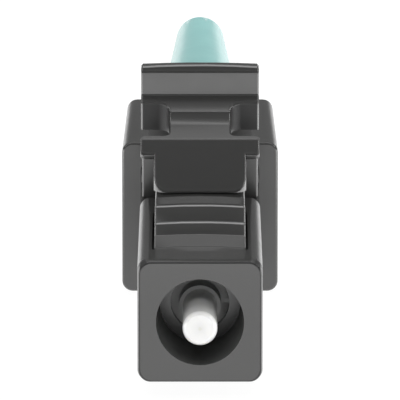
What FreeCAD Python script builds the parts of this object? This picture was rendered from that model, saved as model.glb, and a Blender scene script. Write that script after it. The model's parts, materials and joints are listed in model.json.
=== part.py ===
import FreeCAD
import Part
import math
import os

Vector = FreeCAD.Vector

# Frame: millimetres, y runs from the nose to the boot, z up, x across.
# The origin is on the ferrule axis in the plane of the nose's front face.

# Plug housing
plug_width = 4.52
plug_length = 20.4
plug_edge_radius = 0.42
lead_in_length = 0.45
lead_in_depth = 0.05
nose_rim = 0.05
nose_top_length = 11.0
hinge_pocket_depth = 0.36

# Bore of the nose, the wall behind it and the chambers
bore_radius = 1.59
bore_floor_radius = 1.475
bore_depth = 3.2
bore_wall = 0.4
bore_wall_hole_radius = 1.07
chamber_radius = 1.37
chamber_length = 7.4

# Ferrule and fibre
ferrule_radius = 0.625
ferrule_length = 6.4
ferrule_reach = 1.06
ferrule_chamfer_depth = 0.12
ferrule_chamfer_length = 0.16
ferrule_travel = 0.6
glass_radius = 0.0625
coating_radius = 0.125
funnel_radius = 0.3
funnel_length = 0.6

# Ferrule flange
flange_boss_radius = 0.762
flange_boss_reach = 0.55
flange_flats = 2.26
flange_web = 0.12
flange_tube_radius = 0.6
flange_tube_length = 4.6
flange_bore_radius = 0.3
flange_edge = 0.08

# Ferrule spring
spring_radius = 1.12
spring_wire = 0.28
spring_turns = 5.5
spring_wire_sides = 6

# Spring stop
stop_radius = 1.6
stop_wall = 0.9
stop_hole_radius = 0.75
stop_bore_radius = 1.22
stop_collar_radius = 2.2
stop_collar_thickness = 1.2
stop_spigot_radius = 1.62
stop_spigot_length = 2.8
barb_start = 13.6
barb_length = 1.7
barb_height = 1.5
barb_reach = 0.5

# Outer housing
shell_overlap = 2.4
shell_length = 8.9
shell_width = 6.03
shell_taper = 0.23
shell_height = 5.9
shell_top_radius = 0.40
shell_bottom_radius = 0.41
shell_rear_radius = 0.25
shell_chamfer = 0.1
shell_bore_radius = 2.3
shell_rear_wall = 0.8
catch_setback = 1.7
catch_length = 1.1
catch_height = 1.8
catch_reach = 0.36

# Boot
boot_length = 28.6
boot_base_radius = 2.15
boot_tip_radius = 1.05
boot_tip_chamfer = 0.12
boot_root_chamfer = 0.2
boot_waist_radius = 1.96
cable_bore_radius = 0.5
throat_length = 1.6

# Splice protection sleeve
sleeve_radius = 1.1
sleeve_wall = 0.2
sleeve_length = 22.0
sleeve_setback = 1.4
rod_radius = 0.34
rod_length = 20.0

# Latch arm
latch_width = 3.30
latch_root = 1.5
latch_root_angle = 15.0
latch_root_fillet = 0.9
latch_first_ramp = 2.85
latch_first_height = 0.38
latch_step_length = 0.25
latch_second_height = 0.47
latch_ramp_angle = 44.0
latch_top_length = 0.38
latch_shoulder = 0.5
latch_tail_front = 7.0
latch_tail_end = 8.2
latch_thickness = 0.43
latch_rim = 0.06
latch_crown_radius = 24.0
latch_pivot_y = 2.2
latch_pivot_height = 0.04
latch_knuckle_radius = 0.26

# Trigger lever
lever_width = 4.42
lever_front = 7.0
lever_lift = 1.03
lever_tip_height = 0.10
lever_slope = 43.0
lever_thickness = 0.47
tongue_width = 3.42
tongue_corner_radius = 0.5
landing_height = 4.96
landing_tilt = 20.0
wing_length = 0.46
wing_depth = 0.24
wing_rear = 0.3
wing_corner_radius = 0.14
neck_width = 2.3
window_corner_radius = 0.42
head_front = 10.7
neck_climb = 0.43
ramp_setback = 0.5
ramp_angle = 45.0
ramp_rise = 0.26
ramp_crest_radius = 0.3
tab_length = 0.83
tab_rise = 0.5
lip_rise = 0.03
lip_length = 0.3
ridge_height = 7.3
ridge_chamfer = 0.22
ridge_foot_round = 0.1
ridge_length = 0.75
ridge_crown_radius = 40.0
head_rear = 14.7
lever_rim = 0.07

# Trigger hinge
hinge_y = 14.0
hinge_height = 3.45
leg_thickness = 0.64
leg_width = 3.9
foot_front = 12.8
foot_rear = 15.3
foot_width = 4.4
foot_rim = 0.08

# Travel of the trigger in degrees, and how far the latch turns for each of them
trigger_travel = 6.5
latch_ratio = 1.41

# Clearances
fit_clearance = 0.03
hinge_clearance = 0.015
seat_gap = 0.02
key_clearance = 0.05
touch_gap = 0.037
side_gap = 0.1
swing_gap = 0.06
sleeve_end_gap = 1.3

plug_half = plug_width / 2
nose_top = plug_half
wall_rear = bore_depth + bore_wall
flange_front = wall_rear + seat_gap
ferrule_rear = ferrule_length - ferrule_reach
flange_rear = ferrule_rear + flange_web
key_end = flange_rear + ferrule_travel + side_gap
stop_front = wall_rear + chamber_length
collar_rear = plug_length + stop_collar_thickness
spigot_rear = collar_rear + stop_spigot_length
shell_front = plug_length - shell_overlap
shell_rear = shell_front + shell_length
shell_wall_front = shell_rear - shell_rear_wall
boot_tip = shell_rear + boot_length
catch_start = plug_length - catch_setback
sleeve_start = plug_length - sleeve_setback
sleeve_end = sleeve_start + sleeve_length
throat_start = sleeve_end + ferrule_travel + sleeve_end_gap
cable_bore_start = throat_start + throat_length
latch_pivot_z = nose_top + latch_pivot_height
latch_travel = trigger_travel * latch_ratio
lever_tip_bottom = nose_top + lever_lift
lever_tip_top = lever_tip_bottom + lever_tip_height
lever_under = landing_height - lever_thickness
head_under = lever_under + neck_climb

# Smallest length that is told apart, and a short step off a surface
hair = 1e-6
probe_step = 1e-4

# Edges that turn by more than this many degrees get a rim; faces below this slope look down
rim_turn = 20.0
facing_down = -0.1


def cylinder(radius, start, end, height=0.0):
    return Part.makeCylinder(radius, end - start, Vector(0, start, height), Vector(0, 1, 0))


def cone(start_radius, end_radius, start, end):
    return Part.makeCone(start_radius, end_radius, end - start, Vector(0, start, 0), Vector(0, 1, 0))


def cross_pin(radius, width, y, z):
    return Part.makeCylinder(radius, width, Vector(-width / 2, y, z), Vector(1, 0, 0))


def block(width, start, end, bottom, top):
    return Part.makeBox(width, end - start, top - bottom, Vector(-width / 2, start, bottom))


def outline(corners, place):
    """Closed wire through (u, v, radius) corners, each rounded by its radius."""
    joints = []
    for index, (u, v, radius) in enumerate(corners):
        here = Vector(u, v, 0)
        back = Vector(*corners[index - 1][:2], 0) - here
        ahead = Vector(*corners[(index + 1) % len(corners)][:2], 0) - here
        back.normalize()
        ahead.normalize()
        half = back.getAngle(ahead) / 2
        middle = here
        if radius > 0:
            middle = here + (back + ahead).normalize() * (radius / math.sin(half) - radius)
        reach = radius / math.tan(half)
        joints.append((here + back * reach, middle, here + ahead * reach, radius))
    edges = []
    for index, (first, middle, last, radius) in enumerate(joints):
        if radius > 0:
            edges.append(Part.Arc(place(first), place(middle), place(last)).toShape())
        following = joints[(index + 1) % len(joints)][0]
        if (following - last).Length > hair:
            edges.append(Part.LineSegment(place(last), place(following)).toShape())
    return Part.Wire(edges)


def side_prism(corners, width):
    """Solid of a (y, z, radius) side view, as wide as given about x = 0."""
    wire = outline(corners, lambda p: Vector(-width / 2, p.x, p.y))
    return Part.Face(wire).extrude(Vector(width, 0, 0))


def plan_prism(corners, bottom, top):
    """Solid of an (x, y, radius) plan view between two heights."""
    wire = outline(corners, lambda p: Vector(p.x, p.y, bottom))
    return Part.Face(wire).extrude(Vector(0, 0, top - bottom))


def square_section(width, y):
    """Square outline across the y axis with the plug's corner rounding."""
    half = width / 2
    corners = [(u * half, v * half, plug_edge_radius) for u, v in ((-1, -1), (1, -1), (1, 1), (-1, 1))]
    return outline(corners, lambda p: Vector(p.x, y, p.y))


def turned(corners):
    """Solid of a (radius, y, round) half section turned about the y axis."""
    wire = outline(corners, lambda p: Vector(p.x, p.y, 0))
    return Part.Face(wire).revolve(Vector(0, 0, 0), Vector(0, 1, 0), 360)


def polygon(radius, sides):
    """Corners of a regular polygon about (0, 0), for outline."""
    turns = [2 * math.pi * side / sides for side in range(sides)]
    return [(radius * math.cos(turn), radius * math.sin(turn), 0) for turn in turns]


def hexagon_corner(flats):
    return flats / 2 / math.cos(math.pi / 6)


def hexagon(flats, start, end):
    wire = outline(polygon(hexagon_corner(flats), 6), lambda p: Vector(p.x, start, p.y))
    return Part.Face(wire).extrude(Vector(0, end - start, 0))


def edges_where(shape, test):
    return [edge for edge in shape.Edges if test(edge.BoundBox)]


def outer_rims(shape, wanted):
    """Convex edges that pass a test of their middle and of the lower z of their two normals."""
    rims = []
    for edge in shape.Edges:
        middle = edge.valueAt((edge.FirstParameter + edge.LastParameter) / 2)
        normals = []
        for face in shape.ancestorsOfType(edge, Part.Face):
            normals.append(face.normalAt(*face.Surface.parameter(middle)))
        if len(normals) != 2 or normals[0].getAngle(normals[1]) < math.radians(rim_turn):
            continue
        beside = middle + (normals[0] - normals[1]) * probe_step
        lowest = min(normals[0].z, normals[1].z)
        if wanted(middle, lowest) and not shape.isInside(beside, hair, False):
            rims.append(edge)
    return rims


def latch_form():
    """Whole latch with its root, crowned across its width, before the hinge parts it."""
    slope = math.tan(math.radians(latch_root_angle))
    climb = math.tan(math.radians(latch_ramp_angle))
    first_foot = nose_top + (latch_first_ramp - latch_root) * slope
    step_z = first_foot + latch_first_height
    step_y = latch_first_ramp + latch_first_height / climb
    second_y = step_y + latch_step_length
    top_z = step_z + latch_second_height
    top_y = second_y + latch_second_height / climb
    shoulder_y = top_y + latch_top_length
    neck_z = top_z - latch_shoulder
    tail_z = lever_tip_bottom - touch_gap
    root_front = latch_root - latch_root_fillet
    under_z = nose_top - latch_thickness
    corners = [
        (root_front, under_z, 0),
        (root_front, nose_top, 0),
        (latch_root, nose_top, latch_root_fillet),
        (latch_first_ramp, first_foot, latch_first_height / 2),
        (step_y, step_z, 0),
        (second_y, step_z, 0),
        (top_y, top_z, 0),
        (shoulder_y, top_z, 0),
        (shoulder_y, neck_z, 0),
        (latch_tail_front - latch_thickness, tail_z, latch_thickness),
        (latch_tail_end, tail_z, 0),
        (latch_tail_end, tail_z - latch_thickness, 0),
        (latch_pivot_y, latch_pivot_z - latch_knuckle_radius, 0),
        (latch_pivot_y, under_z, 0),
    ]
    axis_z = top_z - latch_crown_radius
    turn = 2 * math.degrees(math.asin(latch_width / 2 / (latch_crown_radius - top_z)))
    face = Part.Face(outline(corners, lambda p: Vector(0, p.x, p.y)))
    face.rotate(Vector(0, 0, axis_z), Vector(0, 1, 0), -turn)
    crowned = face.revolve(Vector(0, 0, axis_z), Vector(0, 1, 0), 2 * turn)
    form = crowned.common(block(latch_width, root_front, latch_tail_end, under_z, top_z)).removeSplitter()
    rims = outer_rims(form, lambda middle, lowest: lowest > facing_down and middle.y > root_front + hair)
    return form.makeChamfer(latch_rim, rims)


def latch_front(form):
    return block(latch_width * 2, form.BoundBox.YMin, latch_pivot_y, form.BoundBox.ZMin, form.BoundBox.ZMax)


def latch_root_boss():
    form = latch_form()
    seat = cross_pin(latch_knuckle_radius + hinge_clearance, latch_width * 2, latch_pivot_y, latch_pivot_z)
    return form.common(latch_front(form)).cut(seat).cut(latch_pocket())


def latch_arm():
    form = latch_form()
    knuckle = cross_pin(latch_knuckle_radius, latch_width, latch_pivot_y, latch_pivot_z)
    front = latch_front(form)
    return form.cut(front).fuse(form.common(front).common(knuckle)).removeSplitter()


def latch_pocket():
    """Relief in the top of the nose that the pressed latch dips into."""
    reach = latch_tail_end - latch_pivot_y
    tail_under = lever_tip_bottom - touch_gap - latch_thickness
    knuckle_z = latch_pivot_z - latch_knuckle_radius
    under_angle = math.atan2(tail_under - knuckle_z, reach)
    sag = (latch_width / 2) ** 2 / (2 * latch_crown_radius)
    fall = math.tan(math.radians(latch_travel) - under_angle)
    start_z = knuckle_z - sag - swing_gap
    heel = (latch_knuckle_radius + sag) * math.sin(math.radians(latch_travel)) + hinge_clearance
    end_y = latch_tail_end + side_gap
    corners = [
        (latch_pivot_y - heel, knuckle_z, 0),
        (latch_pivot_y - heel, start_z, 0),
        (end_y, start_z - fall * (end_y - latch_pivot_y), 0),
        (end_y, nose_top + plug_edge_radius, 0),
        (latch_pivot_y, nose_top + plug_edge_radius, 0),
        (latch_pivot_y, knuckle_z, 0),
    ]
    width = latch_width + 2 * side_gap
    seat = cross_pin(latch_knuckle_radius + hinge_clearance, width, latch_pivot_y, latch_pivot_z)
    return side_prism(corners, width).fuse(seat)


def lever_peak():
    return lever_front + (landing_height - lever_tip_top) / math.tan(math.radians(lever_slope))


def hinge_foot():
    floor = nose_top - hinge_pocket_depth
    foot = block(foot_width, foot_front, foot_rear, floor, hinge_height)
    foot = foot.makeChamfer(foot_rim, edges_where(foot, lambda box: box.ZMax > floor + hair))
    seat = cross_pin(leg_thickness / 2 + hinge_clearance, foot_width, hinge_y, hinge_height)
    return foot.cut(seat)


def plug_housing():
    full = square_section(plug_width, lead_in_length)
    rim = square_section(plug_width - 2 * lead_in_depth, nose_rim)
    face = square_section(plug_width - 2 * lead_in_depth - 2 * nose_rim, 0)
    nose = Part.makeLoft([face, rim, full], True, True)
    body = nose.fuse(Part.Face(full).extrude(Vector(0, plug_length - lead_in_length, 0)))
    floor = nose_top - hinge_pocket_depth
    body = body.cut(block(plug_width, nose_top_length, foot_rear, floor, nose_top))
    body = body.fuse(hinge_foot())
    for side in (1, -1):
        root = side * (plug_half - plug_edge_radius)
        ramp = plan_prism(
            [
                (root, catch_start, 0),
                (side * (plug_half + catch_reach), catch_start, 0),
                (side * plug_half, catch_start + catch_length, 0),
                (root, catch_start + catch_length, 0),
            ],
            -catch_height / 2,
            catch_height / 2,
        )
        body = body.fuse(ramp)
    body = body.cut(latch_pocket()).fuse(latch_root_boss())
    hollow = cone(bore_radius, bore_floor_radius, 0, bore_depth)
    hollow = hollow.fuse(cylinder(bore_wall_hole_radius, bore_depth, wall_rear))
    hollow = hollow.fuse(hexagon(flange_flats + 2 * key_clearance, wall_rear, key_end))
    hollow = hollow.fuse(cylinder(chamber_radius, key_end, stop_front))
    hollow = hollow.fuse(cylinder(stop_radius + fit_clearance, stop_front, plug_length))
    window_end = barb_start + barb_length + fit_clearance
    window_half = barb_height / 2 + fit_clearance
    window = block(plug_width, barb_start - fit_clearance, window_end, -window_half, window_half)
    return body.cut(hollow).cut(window).removeSplitter()


def ramp_line():
    """Foot and crest of the ramp that climbs from the tilted landing to the tab."""
    crest = head_front - ramp_setback
    foot = crest - ramp_rise / math.tan(math.radians(ramp_angle))
    foot_height = landing_height + (foot - lever_peak()) * math.tan(math.radians(landing_tilt))
    return foot, foot_height, crest, foot_height + ramp_rise


def lever_side():
    """Side view of the lever from the tongue's tip over the ridge and back under the neck."""
    slope = math.radians(lever_slope)
    peak = lever_peak()
    drop = lever_thickness / math.cos(slope)
    under_peak = peak + (drop - lever_thickness) / math.tan(slope)
    under_flat = lever_front + (lever_tip_bottom + drop - lever_tip_top) / math.tan(slope)
    ramp = math.radians(ramp_angle)
    ramp_foot, foot_height, ramp_y, ramp_top = ramp_line()
    crest_turn = abs(ramp - math.atan2(tab_rise, tab_length))
    ramp_reach = ramp_rise / math.sin(ramp) - ramp_crest_radius * math.tan(crest_turn / 2)
    ramp_turn = ramp - math.radians(landing_tilt)
    ridge_y = ramp_y + tab_length
    ridge_foot = ramp_top + tab_rise
    leg_front = hinge_y - leg_thickness / 2
    leg_rear = hinge_y + leg_thickness / 2
    return [
        (lever_front, lever_tip_bottom, 0),
        (lever_front, lever_tip_top, 0),
        (peak, landing_height, 0),
        (ramp_foot, foot_height, ramp_reach / math.tan(ramp_turn / 2)),
        (ramp_y, ramp_top, ramp_crest_radius),
        (ridge_y, ridge_foot, ridge_foot_round),
        (ridge_y, ridge_height - ridge_chamfer, 0),
        (ridge_y + ridge_chamfer, ridge_height, 0),
        (ridge_y + ridge_length, ridge_height, 0),
        (head_rear, head_under, 0),
        (leg_rear, head_under - (head_rear - leg_rear), 0),
        (leg_rear, hinge_height, 0),
        (leg_front, hinge_height, 0),
        (leg_front, head_under, 0),
        (head_front, head_under, 0),
        (under_peak, lever_under, 0),
        (under_flat, lever_tip_bottom, 0),
    ]


def lever_plan():
    """Plan view of the lever: tongue, wings, neck between the windows, and head."""
    half = lever_width / 2
    peak = lever_peak()
    right = [
        (tongue_width / 2, lever_front, tongue_corner_radius),
        (tongue_width / 2, peak - wing_length, 0),
        (half, peak - wing_length, wing_corner_radius),
        (half, peak + wing_rear, wing_corner_radius),
        (neck_width / 2, peak + wing_rear, window_corner_radius / 2),
        (neck_width / 2, head_front, window_corner_radius),
        (half, head_front, 0),
        (half, head_rear, 0),
    ]
    left = [(-x, y, radius) for x, y, radius in reversed(right)]
    return right + left


def trigger_lever():
    peak = lever_peak()
    lever = side_prism(lever_side(), lever_width)
    lever = lever.common(plan_prism(lever_plan(), nose_top, ridge_height))
    crown_axis = ridge_height - ridge_crown_radius
    lever = lever.common(cylinder(ridge_crown_radius, lever_front, head_rear, crown_axis))
    wing_bottom = landing_height - wing_length * math.tan(math.radians(lever_slope)) - wing_depth
    for side in (1, -1):
        below = plan_prism(
            [
                (side * tongue_width / 2, peak - wing_length - wing_depth, 0),
                (side * lever_width, peak - wing_length - wing_depth, 0),
                (side * lever_width, peak + wing_rear, 0),
                (side * tongue_width / 2, peak + wing_rear, 0),
            ],
            lever_tip_bottom,
            wing_bottom,
        )
        lever = lever.cut(below)
    lever = lever.removeSplitter()

    def seen(middle, lowest):
        on_wing = abs(middle.z - wing_bottom) < hair and middle.y < peak - wing_length / 2
        on_top = lowest > facing_down and (middle.y < peak or middle.z > lever_under)
        return on_wing or on_top

    lever = lever.makeChamfer(lever_rim, outer_rims(lever, seen))
    lever = lever.cut(leg_flank(1)).cut(leg_flank(-1))
    lever = lever.fuse(cross_pin(leg_thickness / 2, leg_width, hinge_y, hinge_height))
    return lever.fuse(tab_lip()).removeSplitter()


def tab_lip():
    """Low step across the neck where the ramp meets the tab in front of the ridge."""
    front, foot = ramp_line()[2:]
    rear = foot + lip_length * tab_rise / tab_length
    corners = [
        (front, foot - lip_rise, 0),
        (front, foot + lip_rise, 0),
        (front + lip_length, rear, 0),
        (front + lip_length, rear - lip_rise, 0),
    ]
    return side_prism(corners, neck_width - 2 * lever_rim)


def leg_flank(side):
    inner = side * leg_width / 2
    outer = side * lever_width
    front = hinge_y - leg_thickness
    rear = hinge_y + leg_thickness
    corners = [(inner, front, 0), (outer, front, 0), (outer, rear, 0), (inner, rear, 0)]
    return plan_prism(corners, hinge_height - leg_thickness, head_under)


def ferrule():
    tip = -ferrule_reach
    body = turned(
        [
            (0, tip, 0),
            (ferrule_radius - ferrule_chamfer_depth, tip, 0),
            (ferrule_radius, tip + ferrule_chamfer_length, 0),
            (ferrule_radius, ferrule_rear, 0),
            (0, ferrule_rear, 0),
        ]
    )
    bore = cylinder(glass_radius, tip, ferrule_rear)
    funnel = cone(glass_radius, funnel_radius, ferrule_rear - funnel_length, ferrule_rear)
    return body.cut(bore).cut(funnel)


def ferrule_flange():
    collar = hexagon(flange_flats, flange_front, flange_rear)
    corner = hexagon_corner(flange_flats)
    barrel = turned(
        [
            (0, flange_front, 0),
            (corner - flange_edge, flange_front, 0),
            (corner, flange_front + flange_edge, 0),
            (corner, flange_rear - flange_edge, 0),
            (corner - flange_edge, flange_rear, 0),
            (0, flange_rear, 0),
        ]
    )
    flange = collar.common(barrel)
    flange = flange.fuse(cylinder(flange_boss_radius, bore_depth - flange_boss_reach, flange_front))
    flange = flange.fuse(cylinder(flange_tube_radius, flange_rear, flange_rear + flange_tube_length))
    flange = flange.cut(cylinder(ferrule_radius, bore_depth - flange_boss_reach, ferrule_rear))
    flange = flange.cut(cylinder(flange_bore_radius, ferrule_rear, flange_rear + flange_tube_length))
    return flange.removeSplitter()


def fibre_stub():
    bare = cylinder(glass_radius, -ferrule_reach, ferrule_rear)
    coated = cylinder(coating_radius, ferrule_rear, (sleeve_start + sleeve_end) / 2)
    return bare.fuse(coated)


def ferrule_spring():
    """Helix between the flange and the stop, the wire clear of both by the seat gap."""
    wire_radius = spring_wire / 2
    coil_radius = spring_radius - wire_radius
    start = flange_rear + seat_gap + wire_radius
    height = stop_front - seat_gap - wire_radius - start
    helix = Part.makeHelix(height / spring_turns, height, coil_radius)
    wire = outline(polygon(wire_radius, spring_wire_sides), lambda p: Vector(coil_radius + p.x, 0, p.y))
    coil = Part.Wire(helix).makePipeShell([wire], True, True)
    coil.rotate(Vector(0, 0, 0), Vector(1, 0, 0), -90)
    coil.translate(Vector(0, start, 0))
    return coil


def spring_stop():
    body = cylinder(stop_radius, stop_front, plug_length)
    body = body.fuse(cylinder(stop_collar_radius, plug_length, collar_rear))
    body = body.fuse(cylinder(stop_spigot_radius, collar_rear, spigot_rear))
    for side in (1, -1):
        barb = plan_prism(
            [
                (side * stop_bore_radius, barb_start, 0),
                (side * stop_radius, barb_start, 0),
                (side * (stop_radius + barb_reach), barb_start + barb_length, 0),
                (side * stop_bore_radius, barb_start + barb_length, 0),
            ],
            -barb_height / 2,
            barb_height / 2,
        )
        body = body.fuse(barb)
    body = body.cut(cylinder(stop_hole_radius, stop_front, stop_front + stop_wall))
    return body.cut(cylinder(stop_bore_radius, stop_front + stop_wall, spigot_rear)).removeSplitter()


def outer_housing():
    half = shell_width / 2
    rear_half = half - shell_taper / 2
    rise = shell_height / 2
    plan = [
        (-half, shell_front, 0),
        (half, shell_front, 0),
        (rear_half, shell_rear, 0),
        (-rear_half, shell_rear, 0),
    ]
    shell = plan_prism(plan, -rise, rise)
    long_edges = edges_where(shell, lambda box: box.YLength > shell_length / 2)
    shell = shell.makeFillet(shell_top_radius, [edge for edge in long_edges if edge.BoundBox.ZMin > 0])
    long_edges = edges_where(shell, lambda box: box.YLength > shell_length / 2 and box.ZMax < hair - rise)
    low_edges = [edge for edge in long_edges if abs(edge.BoundBox.XMax) > rear_half / 2]
    shell = shell.makeFillet(shell_bottom_radius, low_edges)
    rear_edges = edges_where(shell, lambda box: box.YMin > shell_rear - hair)
    shell = shell.makeFillet(shell_rear_radius, rear_edges)
    front_edges = edges_where(shell, lambda box: box.YMax < shell_front + hair)
    shell = shell.makeChamfer(shell_chamfer, front_edges)
    socket = square_section(plug_width + 2 * fit_clearance, shell_front)
    socket_end = collar_rear + fit_clearance
    hollow = Part.Face(socket).extrude(Vector(0, socket_end - shell_front, 0))
    hollow = hollow.fuse(cylinder(shell_bore_radius, socket_end, shell_wall_front))
    hollow = hollow.fuse(cylinder(boot_waist_radius + fit_clearance, shell_wall_front, shell_rear))
    window_end = catch_start + catch_length + fit_clearance
    window_half = catch_height / 2 + fit_clearance
    window = block(shell_width, catch_start - fit_clearance, window_end, -window_half, window_half)
    return shell.cut(hollow).cut(window).removeSplitter()


def boot():
    root_front = collar_rear + fit_clearance
    root_rear = shell_wall_front - fit_clearance
    root_radius = shell_bore_radius - fit_clearance
    shoulder = shell_rear + fit_clearance
    body = turned(
        [
            (0, root_front, 0),
            (root_radius - boot_root_chamfer, root_front, 0),
            (root_radius, root_front + boot_root_chamfer, 0),
            (root_radius, root_rear, 0),
            (boot_waist_radius, root_rear, 0),
            (boot_waist_radius, shoulder, 0),
            (boot_base_radius, shoulder, 0),
            (boot_tip_radius, boot_tip - boot_tip_chamfer, 0),
            (boot_tip_radius - boot_tip_chamfer, boot_tip, 0),
            (0, boot_tip, 0),
        ]
    )
    bore = cylinder(stop_spigot_radius + fit_clearance, root_front, spigot_rear + fit_clearance)
    bore = bore.fuse(cylinder(stop_bore_radius, spigot_rear, throat_start))
    bore = bore.fuse(cone(stop_bore_radius, cable_bore_radius, throat_start, cable_bore_start))
    bore = bore.fuse(cylinder(cable_bore_radius, cable_bore_start, boot_tip))
    return body.cut(bore).removeSplitter()


def rod_height():
    return -(sleeve_radius - sleeve_wall - rod_radius)


def splice_tube():
    return cylinder(sleeve_radius, sleeve_start, sleeve_end).cut(
        cylinder(sleeve_radius - sleeve_wall, sleeve_start, sleeve_end)
    )


def splice_rod():
    start = sleeve_start + (sleeve_length - rod_length) / 2
    return cylinder(rod_radius, start, start + rod_length, rod_height())


def splice_liner():
    fill = cylinder(sleeve_radius - sleeve_wall, sleeve_start, sleeve_end)
    return fill.cut(splice_rod()).cut(cylinder(coating_radius, sleeve_start, sleeve_end))


def main():
    os.makedirs("parts", exist_ok=True)
    makers = [
        plug_housing,
        latch_arm,
        trigger_lever,
        ferrule,
        ferrule_flange,
        fibre_stub,
        ferrule_spring,
        spring_stop,
        outer_housing,
        boot,
        splice_tube,
        splice_liner,
        splice_rod,
    ]
    for maker in makers:
        shape = maker()
        print(maker.__name__, len(shape.Solids), shape.isValid(), round(shape.Volume, 3))
        shape.exportStep("parts/" + maker.__name__ + ".step")


main()
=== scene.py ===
import bpy
import json
import math
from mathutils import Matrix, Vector

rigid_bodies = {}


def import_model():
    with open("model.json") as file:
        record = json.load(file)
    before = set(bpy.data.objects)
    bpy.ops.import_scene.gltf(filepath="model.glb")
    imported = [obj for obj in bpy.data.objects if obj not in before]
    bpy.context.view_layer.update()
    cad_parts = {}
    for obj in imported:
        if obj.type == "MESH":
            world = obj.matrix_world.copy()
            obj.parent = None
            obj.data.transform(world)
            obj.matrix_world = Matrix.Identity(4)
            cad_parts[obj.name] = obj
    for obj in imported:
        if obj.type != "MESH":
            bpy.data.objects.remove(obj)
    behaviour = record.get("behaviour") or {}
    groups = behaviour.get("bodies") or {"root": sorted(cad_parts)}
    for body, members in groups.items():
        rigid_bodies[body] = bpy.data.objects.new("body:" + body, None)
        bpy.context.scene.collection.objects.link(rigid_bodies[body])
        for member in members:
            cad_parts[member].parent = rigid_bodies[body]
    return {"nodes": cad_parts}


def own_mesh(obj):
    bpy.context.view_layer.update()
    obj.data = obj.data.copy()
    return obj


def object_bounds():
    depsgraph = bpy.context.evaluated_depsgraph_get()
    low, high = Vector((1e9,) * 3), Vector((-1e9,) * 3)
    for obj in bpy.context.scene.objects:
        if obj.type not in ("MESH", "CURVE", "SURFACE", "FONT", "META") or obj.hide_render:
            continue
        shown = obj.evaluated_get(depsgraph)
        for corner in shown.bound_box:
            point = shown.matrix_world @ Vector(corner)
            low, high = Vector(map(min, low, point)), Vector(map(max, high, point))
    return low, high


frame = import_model()
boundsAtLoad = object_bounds()
nodes = frame["nodes"]
print("frame loaded:", len(nodes), "nodes")

mm = 0.001


# camera at the photograph's angle, a long lens that looks down on the nose
photoCamera = {
    "focalPixels": 6388.0,
    "framePixels": 400.0,
    "sensor": 36.0,
    "clip": (10.0 * mm, 50.0),
    "distance": 230.0 * mm,
    "elevation": 12.0,
    "aim": Vector((0.0, 0.91 * mm, 4.31 * mm)),
}


def placeCamera(spec):
    data = bpy.data.cameras.new("photoCamera")
    data.sensor_width = spec["sensor"]
    data.lens = spec["focalPixels"] / spec["framePixels"] * spec["sensor"]
    data.clip_start, data.clip_end = spec["clip"]
    camera = bpy.data.objects.new("photoCamera", data)
    bpy.context.scene.collection.objects.link(camera)
    tilt = math.radians(spec["elevation"])
    back = Vector((0.0, -math.cos(tilt), math.sin(tilt)))
    camera.location = spec["aim"] + back * spec["distance"]
    camera.rotation_mode = "QUATERNION"
    camera.rotation_quaternion = (-back).to_track_quat("-Z", "Y")
    bpy.context.scene.camera = camera


placeCamera(photoCamera)
print("camera placed")


# shading of the moulded edges: flat faces stay flat, the narrow rims between them turn softly
softRims = {
    "sameSpot": 0.0002 * mm,
    "flatWithin": 0.3,  # degrees, as the two turns below
    "outerTurn": 50.0,
    "innerTurn": 25.0,
}


class Groups:
    def __init__(self, count):
        self.parent = list(range(count))

    def find(self, item):
        while self.parent[item] != item:
            self.parent[item] = self.parent[self.parent[item]]
            item = self.parent[item]
        return item

    def join(self, first, second):
        self.parent[self.find(first)] = self.find(second)


# the mesh keeps a vertex for each face, so vertices at one spot count as one
def readFacets(mesh, spec):
    spots = {}
    spotOf = []
    for vertex in mesh.vertices:
        key = tuple(round(value / spec["sameSpot"]) for value in vertex.co)
        spotOf.append(spots.setdefault(key, len(spots)))
    edges = {}
    for facet in mesh.polygons:
        ring = [spotOf[index] for index in facet.vertices]
        for start, end in zip(ring, ring[1:] + ring[:1]):
            edges.setdefault((min(start, end), max(start, end)), []).append(facet.index)
    return spotOf, edges


def softShade(node, spec):
    mesh = node.data
    facets = mesh.polygons
    spotOf, edges = readFacets(mesh, spec)
    flats = Groups(len(facets))
    softEdges = []
    for spotPair, owners in edges.items():
        if len(owners) != 2:
            continue
        one, two = (facets[index] for index in owners)
        turn = math.degrees(one.normal.angle(two.normal, 0.0))
        if turn < spec["flatWithin"]:
            flats.join(*owners)
        outer = (two.center - one.center).dot(one.normal) < 0.0
        if turn < (spec["outerTurn"] if outer else spec["innerTurn"]):
            softEdges.append((spotPair, owners))
    areas = {}
    for facet in facets:
        flat = flats.find(facet.index)
        areas[flat] = areas.get(flat, 0.0) + facet.area
    # one fan of facets for every corner, joined across the soft edges that meet there
    corners = {}
    for facet in facets:
        for loop in facet.loop_indices:
            corners[(spotOf[mesh.loops[loop].vertex_index], facet.index)] = loop
    fans = Groups(len(mesh.loops))
    for spotPair, owners in softEdges:
        for spot in spotPair:
            fans.join(*(corners[(spot, owner)] for owner in owners))
    # a large flat face outweighs the rims beside it
    sums = {}
    for (_, index), loop in corners.items():
        fan = fans.find(loop)
        weighted = facets[index].normal * areas[flats.find(index)]
        sums[fan] = sums.get(fan, Vector((0.0, 0.0, 0.0))) + weighted
    normals = [sums[fans.find(loop)].normalized() for loop in range(len(mesh.loops))]
    facets.foreach_set("use_smooth", [True] * len(facets))
    mesh.normals_split_custom_set(normals)


for node in nodes.values():
    softShade(node, softRims)
print("rims shaded")


# noise behind every finish: the part of its range in use, and the detail of each layer
noiseSpan = (0.3, 0.7)
noiseDetail = {"drift": 3.0, "gloss": 4.0, "grain": 2.0}
evenStretch = (1.0, 1.0, 1.0)


# small helpers for node materials
def setSockets(node, values):
    for socket, value in values.items():
        node.inputs[socket].default_value = value


def newMaterial(name):
    material = bpy.data.materials.new(name)
    material.use_nodes = True
    tree = material.node_tree
    return material, tree, tree.nodes["Principled BSDF"]


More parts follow.
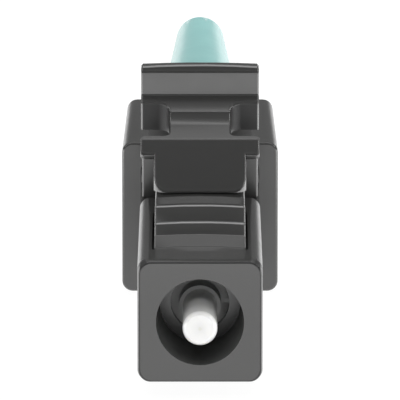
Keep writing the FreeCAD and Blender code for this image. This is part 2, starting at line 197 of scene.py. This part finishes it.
def addNoise(tree, coords, scale, detail, stretch):
    mapping = tree.nodes.new("ShaderNodeMapping")
    setSockets(mapping, {"Scale": stretch})
    noise = tree.nodes.new("ShaderNodeTexNoise")
    setSockets(noise, {"Scale": scale, "Detail": detail})
    tree.links.new(coords.outputs["Object"], mapping.inputs["Vector"])
    tree.links.new(mapping.outputs["Vector"], noise.inputs["Vector"])
    return noise


def addRamp(tree, source, low, high):
    ramp = tree.nodes.new("ShaderNodeValToRGB")
    for stop, place, colour in zip(ramp.color_ramp.elements, noiseSpan, (low, high)):
        stop.position = place
        stop.color = (*colour, 1.0)
    tree.links.new(source.outputs["Fac"], ramp.inputs["Fac"])
    return ramp


def addRange(tree, source, fromSpan, toSpan):
    change = tree.nodes.new("ShaderNodeMapRange")
    setSockets(change, {"From Min": fromSpan[0], "From Max": fromSpan[1]})
    setSockets(change, {"To Min": toSpan[0], "To Max": toSpan[1]})
    tree.links.new(source, change.inputs["Value"])
    return change


def addBump(tree, source, strength, distance):
    bump = tree.nodes.new("ShaderNodeBump")
    setSockets(bump, {"Strength": strength, "Distance": distance})
    tree.links.new(source.outputs["Fac"], bump.inputs["Height"])
    return bump


# every finish is a surface with slow colour drift, slightly uneven gloss and a fine grain
def finish(name, spec):
    material, tree, shader = newMaterial(name)
    coords = tree.nodes.new("ShaderNodeTexCoord")
    stretch = spec.get("stretch", evenStretch)
    drift, gloss, grain = (
        addNoise(tree, coords, spec[layer + "Scale"], detail, stretch)
        for layer, detail in noiseDetail.items()
    )
    colour = addRamp(tree, drift, spec["dark"], spec["light"])
    roughness = addRange(tree, gloss.outputs["Fac"], noiseSpan, spec["roughness"])
    bump = addBump(tree, grain, spec["grain"], spec["grainDepth"])
    tree.links.new(colour.outputs["Color"], shader.inputs["Base Color"])
    tree.links.new(roughness.outputs["Result"], shader.inputs["Roughness"])
    tree.links.new(bump.outputs["Normal"], shader.inputs["Normal"])
    setSockets(shader, spec.get("shader", {}))
    return material


bodyPlastic = {
    "dark": (0.039, 0.039, 0.038),
    "light": (0.043, 0.043, 0.042),
    "driftScale": 250.0,
    "glossScale": 1800.0,
    "grainScale": 22000.0,
    "roughness": (0.20, 0.24),
    "grain": 0.05,
    "grainDepth": 0.002 * mm,
    "shader": {"IOR": 1.9},
}

# the same plastic painted darker and duller in the trigger's hollows: painted shade
hollowPaintedShade = {
    **bodyPlastic,
    "dark": (0.027, 0.027, 0.027),
    "light": (0.031, 0.031, 0.031),
    "roughness": (0.42, 0.50),
    "grain": 0.10,
    "shader": {"IOR": 1.5},
}

# the same plastic painted darker and matte on the nose's front rim: a painted shade line round the front
# face
rimPaintedShade = {
    **bodyPlastic,
    "dark": (0.027, 0.027, 0.027),
    "light": (0.031, 0.031, 0.031),
    "roughness": (0.28, 0.30),
    "grain": 0.005,
    "shader": {"IOR": 1.5},
}

# the same plastic painted lighter and duller inside the bore: painted light in the bore
borePaintedLight = {
    **bodyPlastic,
    "dark": (0.080, 0.082, 0.080),
    "light": (0.090, 0.092, 0.090),
    "roughness": (0.48, 0.56),
    "grain": 0.10,
    "shader": {"IOR": 1.4},
}

# and the same plastic painted light along its crests: painted highlights
crestPaintedHighlight = {
    **bodyPlastic,
    "dark": (0.25, 0.25, 0.25),
    "light": (0.29, 0.29, 0.29),
    "roughness": (0.12, 0.16),
    "grain": 0.005,
}

stopPlastic = {
    "dark": (0.045, 0.045, 0.046),
    "light": (0.060, 0.060, 0.060),
    "driftScale": 350.0,
    "glossScale": 1400.0,
    "grainScale": 16000.0,
    "roughness": (0.35, 0.45),
    "grain": 0.15,
    "grainDepth": 0.004 * mm,
    "shader": {"IOR": 1.5},
}

bootRubber = {
    "dark": (0.27, 0.55, 0.535),
    "light": (0.30, 0.59, 0.575),
    "driftScale": 220.0,
    "glossScale": 900.0,
    "grainScale": 12000.0,
    "roughness": (0.15, 0.19),
    "grain": 0.03,
    "grainDepth": 0.003 * mm,
    "shader": {"IOR": 1.25},
}

ferruleCeramic = {
    "dark": (0.90, 0.90, 0.88),
    "light": (0.94, 0.94, 0.93),
    "driftScale": 600.0,
    "glossScale": 2500.0,
    "grainScale": 30000.0,
    "roughness": (0.10, 0.16),
    "grain": 0.05,
    "grainDepth": 0.002 * mm,
    "shader": {
        "IOR": 1.9,
        "Subsurface Weight": 0.5,
        "Subsurface Scale": 0.3 * mm,
        "Subsurface Radius": (1.0, 1.0, 0.9),
    },
}

# the flange's plated metal, painted lighter than its own colour: painted light in the dim bore
platedMetalPaintedLight = {
    "dark": (0.46, 0.465, 0.46),
    "light": (0.50, 0.505, 0.50),
    "driftScale": 900.0,
    "glossScale": 4000.0,
    "grainScale": 14000.0,
    "roughness": (0.46, 0.56),
    "grain": 0.15,
    "grainDepth": 0.003 * mm,
    "stretch": (1.0, 6.0, 1.0),
    "shader": {"Metallic": 0.35},
}

drawnSteel = {
    "dark": (0.48, 0.49, 0.51),
    "light": (0.60, 0.61, 0.63),
    "driftScale": 900.0,
    "glossScale": 4000.0,
    "grainScale": 14000.0,
    "roughness": (0.22, 0.36),
    "grain": 0.20,
    "grainDepth": 0.003 * mm,
    "stretch": (6.0, 0.6, 6.0),
    "shader": {"Metallic": 1.0},
}

coatedFibre = {
    "dark": (0.80, 0.80, 0.74),
    "light": (0.86, 0.86, 0.82),
    "driftScale": 900.0,
    "glossScale": 4000.0,
    "grainScale": 30000.0,
    "roughness": (0.10, 0.18),
    "grain": 0.05,
    "grainDepth": 0.002 * mm,
}

shrinkTube = {
    "dark": (0.78, 0.80, 0.82),
    "light": (0.86, 0.87, 0.88),
    "driftScale": 400.0,
    "glossScale": 1500.0,
    "grainScale": 9000.0,
    "roughness": (0.14, 0.24),
    "grain": 0.10,
    "grainDepth": 0.004 * mm,
    "shader": {"Transmission Weight": 0.6, "IOR": 1.45},
}

meltLiner = {
    "dark": (0.80, 0.78, 0.70),
    "light": (0.88, 0.86, 0.79),
    "driftScale": 400.0,
    "glossScale": 1500.0,
    "grainScale": 9000.0,
    "roughness": (0.25, 0.40),
    "grain": 0.12,
    "grainDepth": 0.004 * mm,
    "shader": {"Transmission Weight": 0.3, "IOR": 1.45},
}

finishes = {
    "bodyPlastic": (bodyPlastic, ("plug_housing", "latch_arm", "trigger_lever", "outer_housing")),
    "stopPlastic": (stopPlastic, ("spring_stop",)),
    "bootRubber": (bootRubber, ("boot",)),
    "ferruleCeramic": (ferruleCeramic, ("ferrule",)),
    "platedMetalPaintedLight": (platedMetalPaintedLight, ("ferrule_flange",)),
    "drawnSteel": (drawnSteel, ("ferrule_spring", "splice_rod")),
    "coatedFibre": (coatedFibre, ("fibre_stub",)),
    "shrinkTube": (shrinkTube, ("splice_tube",)),
    "meltLiner": (meltLiner, ("splice_liner",)),
}

for name, (spec, owners) in finishes.items():
    material = finish(name, spec)
    for owner in owners:
        mesh = nodes[owner].data
        mesh.materials.clear()
        mesh.materials.append(material)


# facets painted apart from their node with painted shade, painted light and painted highlights: centres
# inside a box in mm, and normals that lean so far
facetFinishes = {
    # painted shade on the nose's front rim
    "rimPaintedShade": {
        "finish": rimPaintedShade, "node": "plug_housing",
        "low": (-2.3, 0.0, -2.3), "high": (2.3, 0.46, 2.2),
        "facing": "y", "least": -0.95, "most": -0.05,
    },
    # painted light inside the nose's bore
    "borePaintedLight": {
        "finish": borePaintedLight, "node": "plug_housing",
        "low": (-1.6, 0.05, -1.6), "high": (1.6, 3.1, 1.6),
        "facing": "y", "least": -1.1, "most": 1.1,
    },
    # painted highlight on the latch's two crests
    "latchCrestHighlight": {
        "finish": crestPaintedHighlight, "node": "latch_arm",
        "low": (-1.7, 3.1, 2.8), "high": (1.7, 4.05, 3.55),
        "facing": "z", "least": 0.85, "most": 0.97,
    },
    # painted highlight on the ridge's top edge
    "ridgeEdgeHighlight": {
        "finish": crestPaintedHighlight, "node": "trigger_lever",
        "low": (-2.2, 11.15, 7.15), "high": (2.2, 11.4, 7.4),
        "facing": "z", "least": 0.8, "most": 0.97,
    },
    # painted shade in the trigger's hollows
    "hollowPaintedShade": {
        "finish": hollowPaintedShade, "node": "trigger_lever",
        "low": (-2.15, 9.1, 4.8), "high": (2.15, 10.75, 6.0),
        "facing": "z", "least": -0.2, "most": 0.2,
    },
}


def finishFacets(name, spec):
    mesh = nodes[spec["node"]].data
    mesh.materials.append(finish(name, spec["finish"]))
    low, high = (Vector(spec[end]) * mm for end in ("low", "high"))
    for facet in mesh.polygons:
        inside = all(low[axis] < facet.center[axis] < high[axis] for axis in range(3))
        if inside and spec["least"] < getattr(facet.normal, spec["facing"]) < spec["most"]:
            facet.material_index = len(mesh.materials) - 1


for name, spec in facetFinishes.items():
    finishFacets(name, spec)
print("finishes set")


# the coil spring gets a mesh of its own
coilSpring = {"node": "ferrule_spring", "joint": "ferrule_slide"}


def shortenSpring(spec):
    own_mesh(nodes[spec["node"]])


shortenSpring(coilSpring)


# studio: a pale light table under a sky that is dim low down and in front, with soft lamps
studio = {
    "tableHalf": 8.0,
    "tableFinish": {
        "Base Color": (0.12, 0.12, 0.12, 1.0),
        "Roughness": 0.9,
        "Specular IOR Level": 0.0,
        "Emission Color": (1.0, 1.0, 1.0, 1.0),
    },
    "tableGlow": {"at": (-0.044, -0.024), "strength": (1.5, 0.95)},
    "sky": (  # sine of the height above the horizon, and the level there
        (0.0, 0.40), (0.03, 0.36), (0.06, 0.15), (0.18, 0.18), (0.50, 0.18),
        (0.76, 0.72), (0.84, 0.72), (0.87, 1.7), (0.90, 1.7), (0.93, 0.5), (1.0, 0.3),
    ),
    "skyDepth": {"at": (-0.3, 0.3), "strength": (0.25, 1.0)},
    "lamps": {
        "bootBox": {"at": (0.0, 0.080, 0.045), "size": (0.05, 0.04), "power": 0.031, "gloss": False},
        "bootSide": {"at": (0.10, 0.045, 0.002), "size": (0.03, 0.03), "power": 0.03, "gloss": False},
        "rightStrip": {"at": (0.28, 0.06, 0.20), "size": (0.30, 0.02), "power": 0.18, "gloss": True},
        "leftStrip": {"at": (-0.28, 0.06, 0.20), "size": (0.30, 0.02), "power": 0.10, "gloss": True},
        "rightSill": {"at": (0.024, 0.010, 0.001), "size": (0.06, 0.008), "power": 0.003, "gloss": True},
        "leftSill": {"at": (-0.024, 0.010, 0.001), "size": (0.06, 0.008), "power": 0.0025, "gloss": True},
        "frontHigh": {"at": (0.0, -0.37, 0.31), "size": (0.30, 0.12), "power": 0.66, "gloss": False},
        "frontLow": {"at": (0.0, -0.50, 0.03), "size": (0.30, 0.05), "power": 0.27, "gloss": False},
    },
    "aim": Vector((0.0, 0.012, 0.002)),
}


# a strength that changes along Y, from the nose's side to the boot's
def addDepth(tree, source, spec):
    split = tree.nodes.new("ShaderNodeSeparateXYZ")
    tree.links.new(source, split.inputs["Vector"])
    return split, addRange(tree, split.outputs["Y"], spec["at"], spec["strength"])


def layTable(spec, height):
    mesh = bpy.data.meshes.new("lightTable")
    half = spec["tableHalf"]
    corners = [(-half, -half, height), (half, -half, height), (half, half, height), (-half, half, height)]
    mesh.from_pydata(corners, [], [(0, 1, 2, 3)])
    table = bpy.data.objects.new("lightTable", mesh)
    bpy.context.scene.collection.objects.link(table)
    material, tree, shader = newMaterial("lightTable")
    setSockets(shader, spec["tableFinish"])
    # the table glows more some way in front of the nose, where the upright faces mirror it
    place = tree.nodes.new("ShaderNodeNewGeometry")
    _, glow = addDepth(tree, place.outputs["Position"], spec["tableGlow"])
    tree.links.new(glow.outputs["Result"], shader.inputs["Emission Strength"])
    mesh.materials.append(material)


def lightWorld(spec):
    world = bpy.data.worlds.new("studioWorld")
    bpy.context.scene.world = world
    world.use_nodes = True
    tree = world.node_tree
    background = tree.nodes["Background"]
    coords = tree.nodes.new("ShaderNodeTexCoord")
    ramp = tree.nodes.new("ShaderNodeValToRGB")
    stops = ramp.color_ramp.elements
    while len(stops) < len(spec["sky"]):
        stops.new(1.0)
    for stop, (height, level) in zip(stops, spec["sky"]):
        stop.position = height
        stop.color = (level, level, level, 1.0)
    # the half of the sky in front of the nose is dimmer than the half behind the boot
    split, depth = addDepth(tree, coords.outputs["Generated"], spec["skyDepth"])
    tree.links.new(split.outputs["Z"], ramp.inputs["Fac"])
    tree.links.new(ramp.outputs["Color"], background.inputs["Color"])
    tree.links.new(depth.outputs["Result"], background.inputs["Strength"])


def hangLamps(spec):
    for name, lamp in spec["lamps"].items():
        data = bpy.data.lights.new(name, "AREA")
        data.shape = "RECTANGLE"
        data.size, data.size_y = lamp["size"]
        data.energy = lamp["power"]
        box = bpy.data.objects.new(name, data)
        bpy.context.scene.collection.objects.link(box)
        box.location = lamp["at"]
        box.rotation_mode = "QUATERNION"
        box.rotation_quaternion = (spec["aim"] - box.location).to_track_quat("-Z", "Y")
        box.visible_camera = False
        box.visible_glossy = lamp["gloss"]


layTable(studio, boundsAtLoad[0].z)
lightWorld(studio)
hangLamps(studio)
bpy.context.scene.view_settings.view_transform = "Standard"
print("studio lit")
